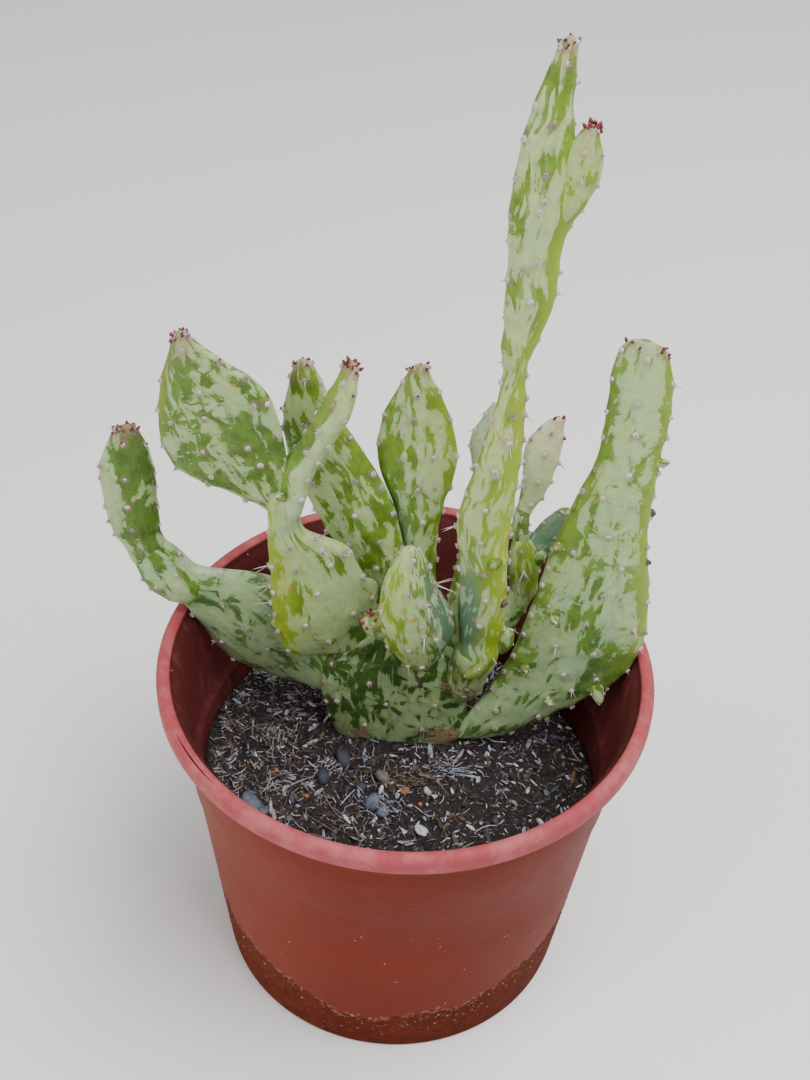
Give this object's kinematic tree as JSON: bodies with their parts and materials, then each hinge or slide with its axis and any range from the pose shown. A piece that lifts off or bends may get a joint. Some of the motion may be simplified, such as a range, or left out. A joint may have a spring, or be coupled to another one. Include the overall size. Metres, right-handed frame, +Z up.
{
  "type": "potted paddle cactus",
  "caption": "Clump of flat variegated cactus pads with small buds, growing in soil in a round tapered plastic nursery pot.",
  "frame": {"origin": "centre of the pot's flat underside, on the surface that it stands on", "axes": "+Z up along the pot's axis, +X to the right of the clump's front, +Y towards its back"},
  "size_m": [0.2226, 0.2, 0.421],
  "materials": {
    "pot_plastic": "satin",
    "potting_soil": "matte",
    "old_pad": "matte",
    "streaked_pad": "satin",
    "green_pad": "satin",
    "pale_pad": "matte",
    "blue_pad": "matte",
    "bud": "satin"
  },
  "bodies": {
    "root": {"pot": "pot_plastic", "soil": "potting_soil", "mother_pad": "old_pad", "left_low_pad": "streaked_pad", "left_elbow_pad": "streaked_pad", "left_tip_pad": "streaked_pad", "front_left_pad": "streaked_pad", "narrow_pad": "green_pad", "left_high_pad": "streaked_pad", "back_left_pad": "green_pad", "back_centre_pad": "green_pad", "front_stub_pad": "green_pad", "stem_foot": "old_pad", "stem_pad": "streaked_pad", "stem_top_pad": "streaked_pad", "stem_side_pad": "green_pad", "right_pad": "streaked_pad", "back_stem_pad": "green_pad", "back_pale_pad": "pale_pad", "knee_pad": "old_pad", "round_pad": "green_pad", "link_pad": "green_pad", "pale_tip_pad": "pale_pad", "blue_green_pad": "blue_pad", "tucked_pad": "green_pad", "front_stub_bud": "bud", "stem_bud": "bud", "foot_shoot": "bud", "spiny_bud": "bud", "link_bud": "bud", "neck_bud": "bud", "left_edge_bud": "bud", "hanging_bud": "bud", "upper_margin_bud": "bud", "lower_margin_bud": "bud", "right_face_bud": "bud", "low_face_bud": "bud", "bottom_face_bud": "bud", "outer_margin_bud": "bud"}
  },
  "joints": []
}
